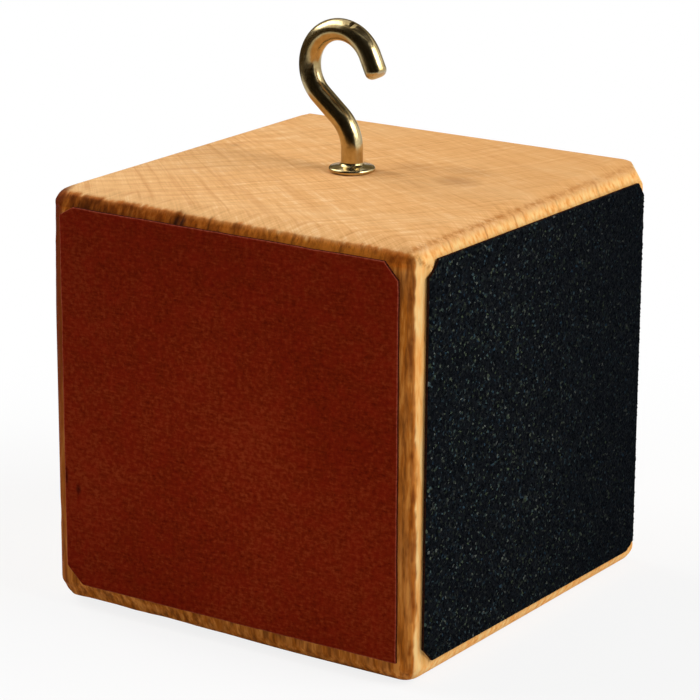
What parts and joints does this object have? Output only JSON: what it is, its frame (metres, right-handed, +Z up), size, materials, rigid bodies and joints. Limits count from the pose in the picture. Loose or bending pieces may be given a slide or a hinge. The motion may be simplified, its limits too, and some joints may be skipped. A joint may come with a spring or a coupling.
{
  "type": "friction cube",
  "caption": "Rounded hardwood cube with a smooth fibre sheet on one face, a gritty abrasive sheet on the next, and a screw hook in its top for pulling it with a line or a spring scale.",
  "frame": {"origin": "centre of the block's bottom face", "axes": "+Z up through the block to the hook, -Y out of the face with the fibre sheet, +X out of the face with the abrasive sheet"},
  "size_m": [0.0512, 0.0522, 0.0682],
  "materials": {
    "hardwood": "bare close-grained hardwood, end grain on top, edges rounded and handled",
    "fibreboard": "red-brown mottled fibre sheet, matt, with a paler cut edge",
    "abrasive": "coarse black grit bonded to a limp backing, with small glints",
    "plated_wire": "bright plated wire with a warm tint"
  },
  "bodies": {
    "root": {"wood_cube": "hardwood", "fibre_sheet": "fibreboard", "abrasive_sheet": "abrasive", "screw_hook": "plated_wire"}
  },
  "joints": []
}
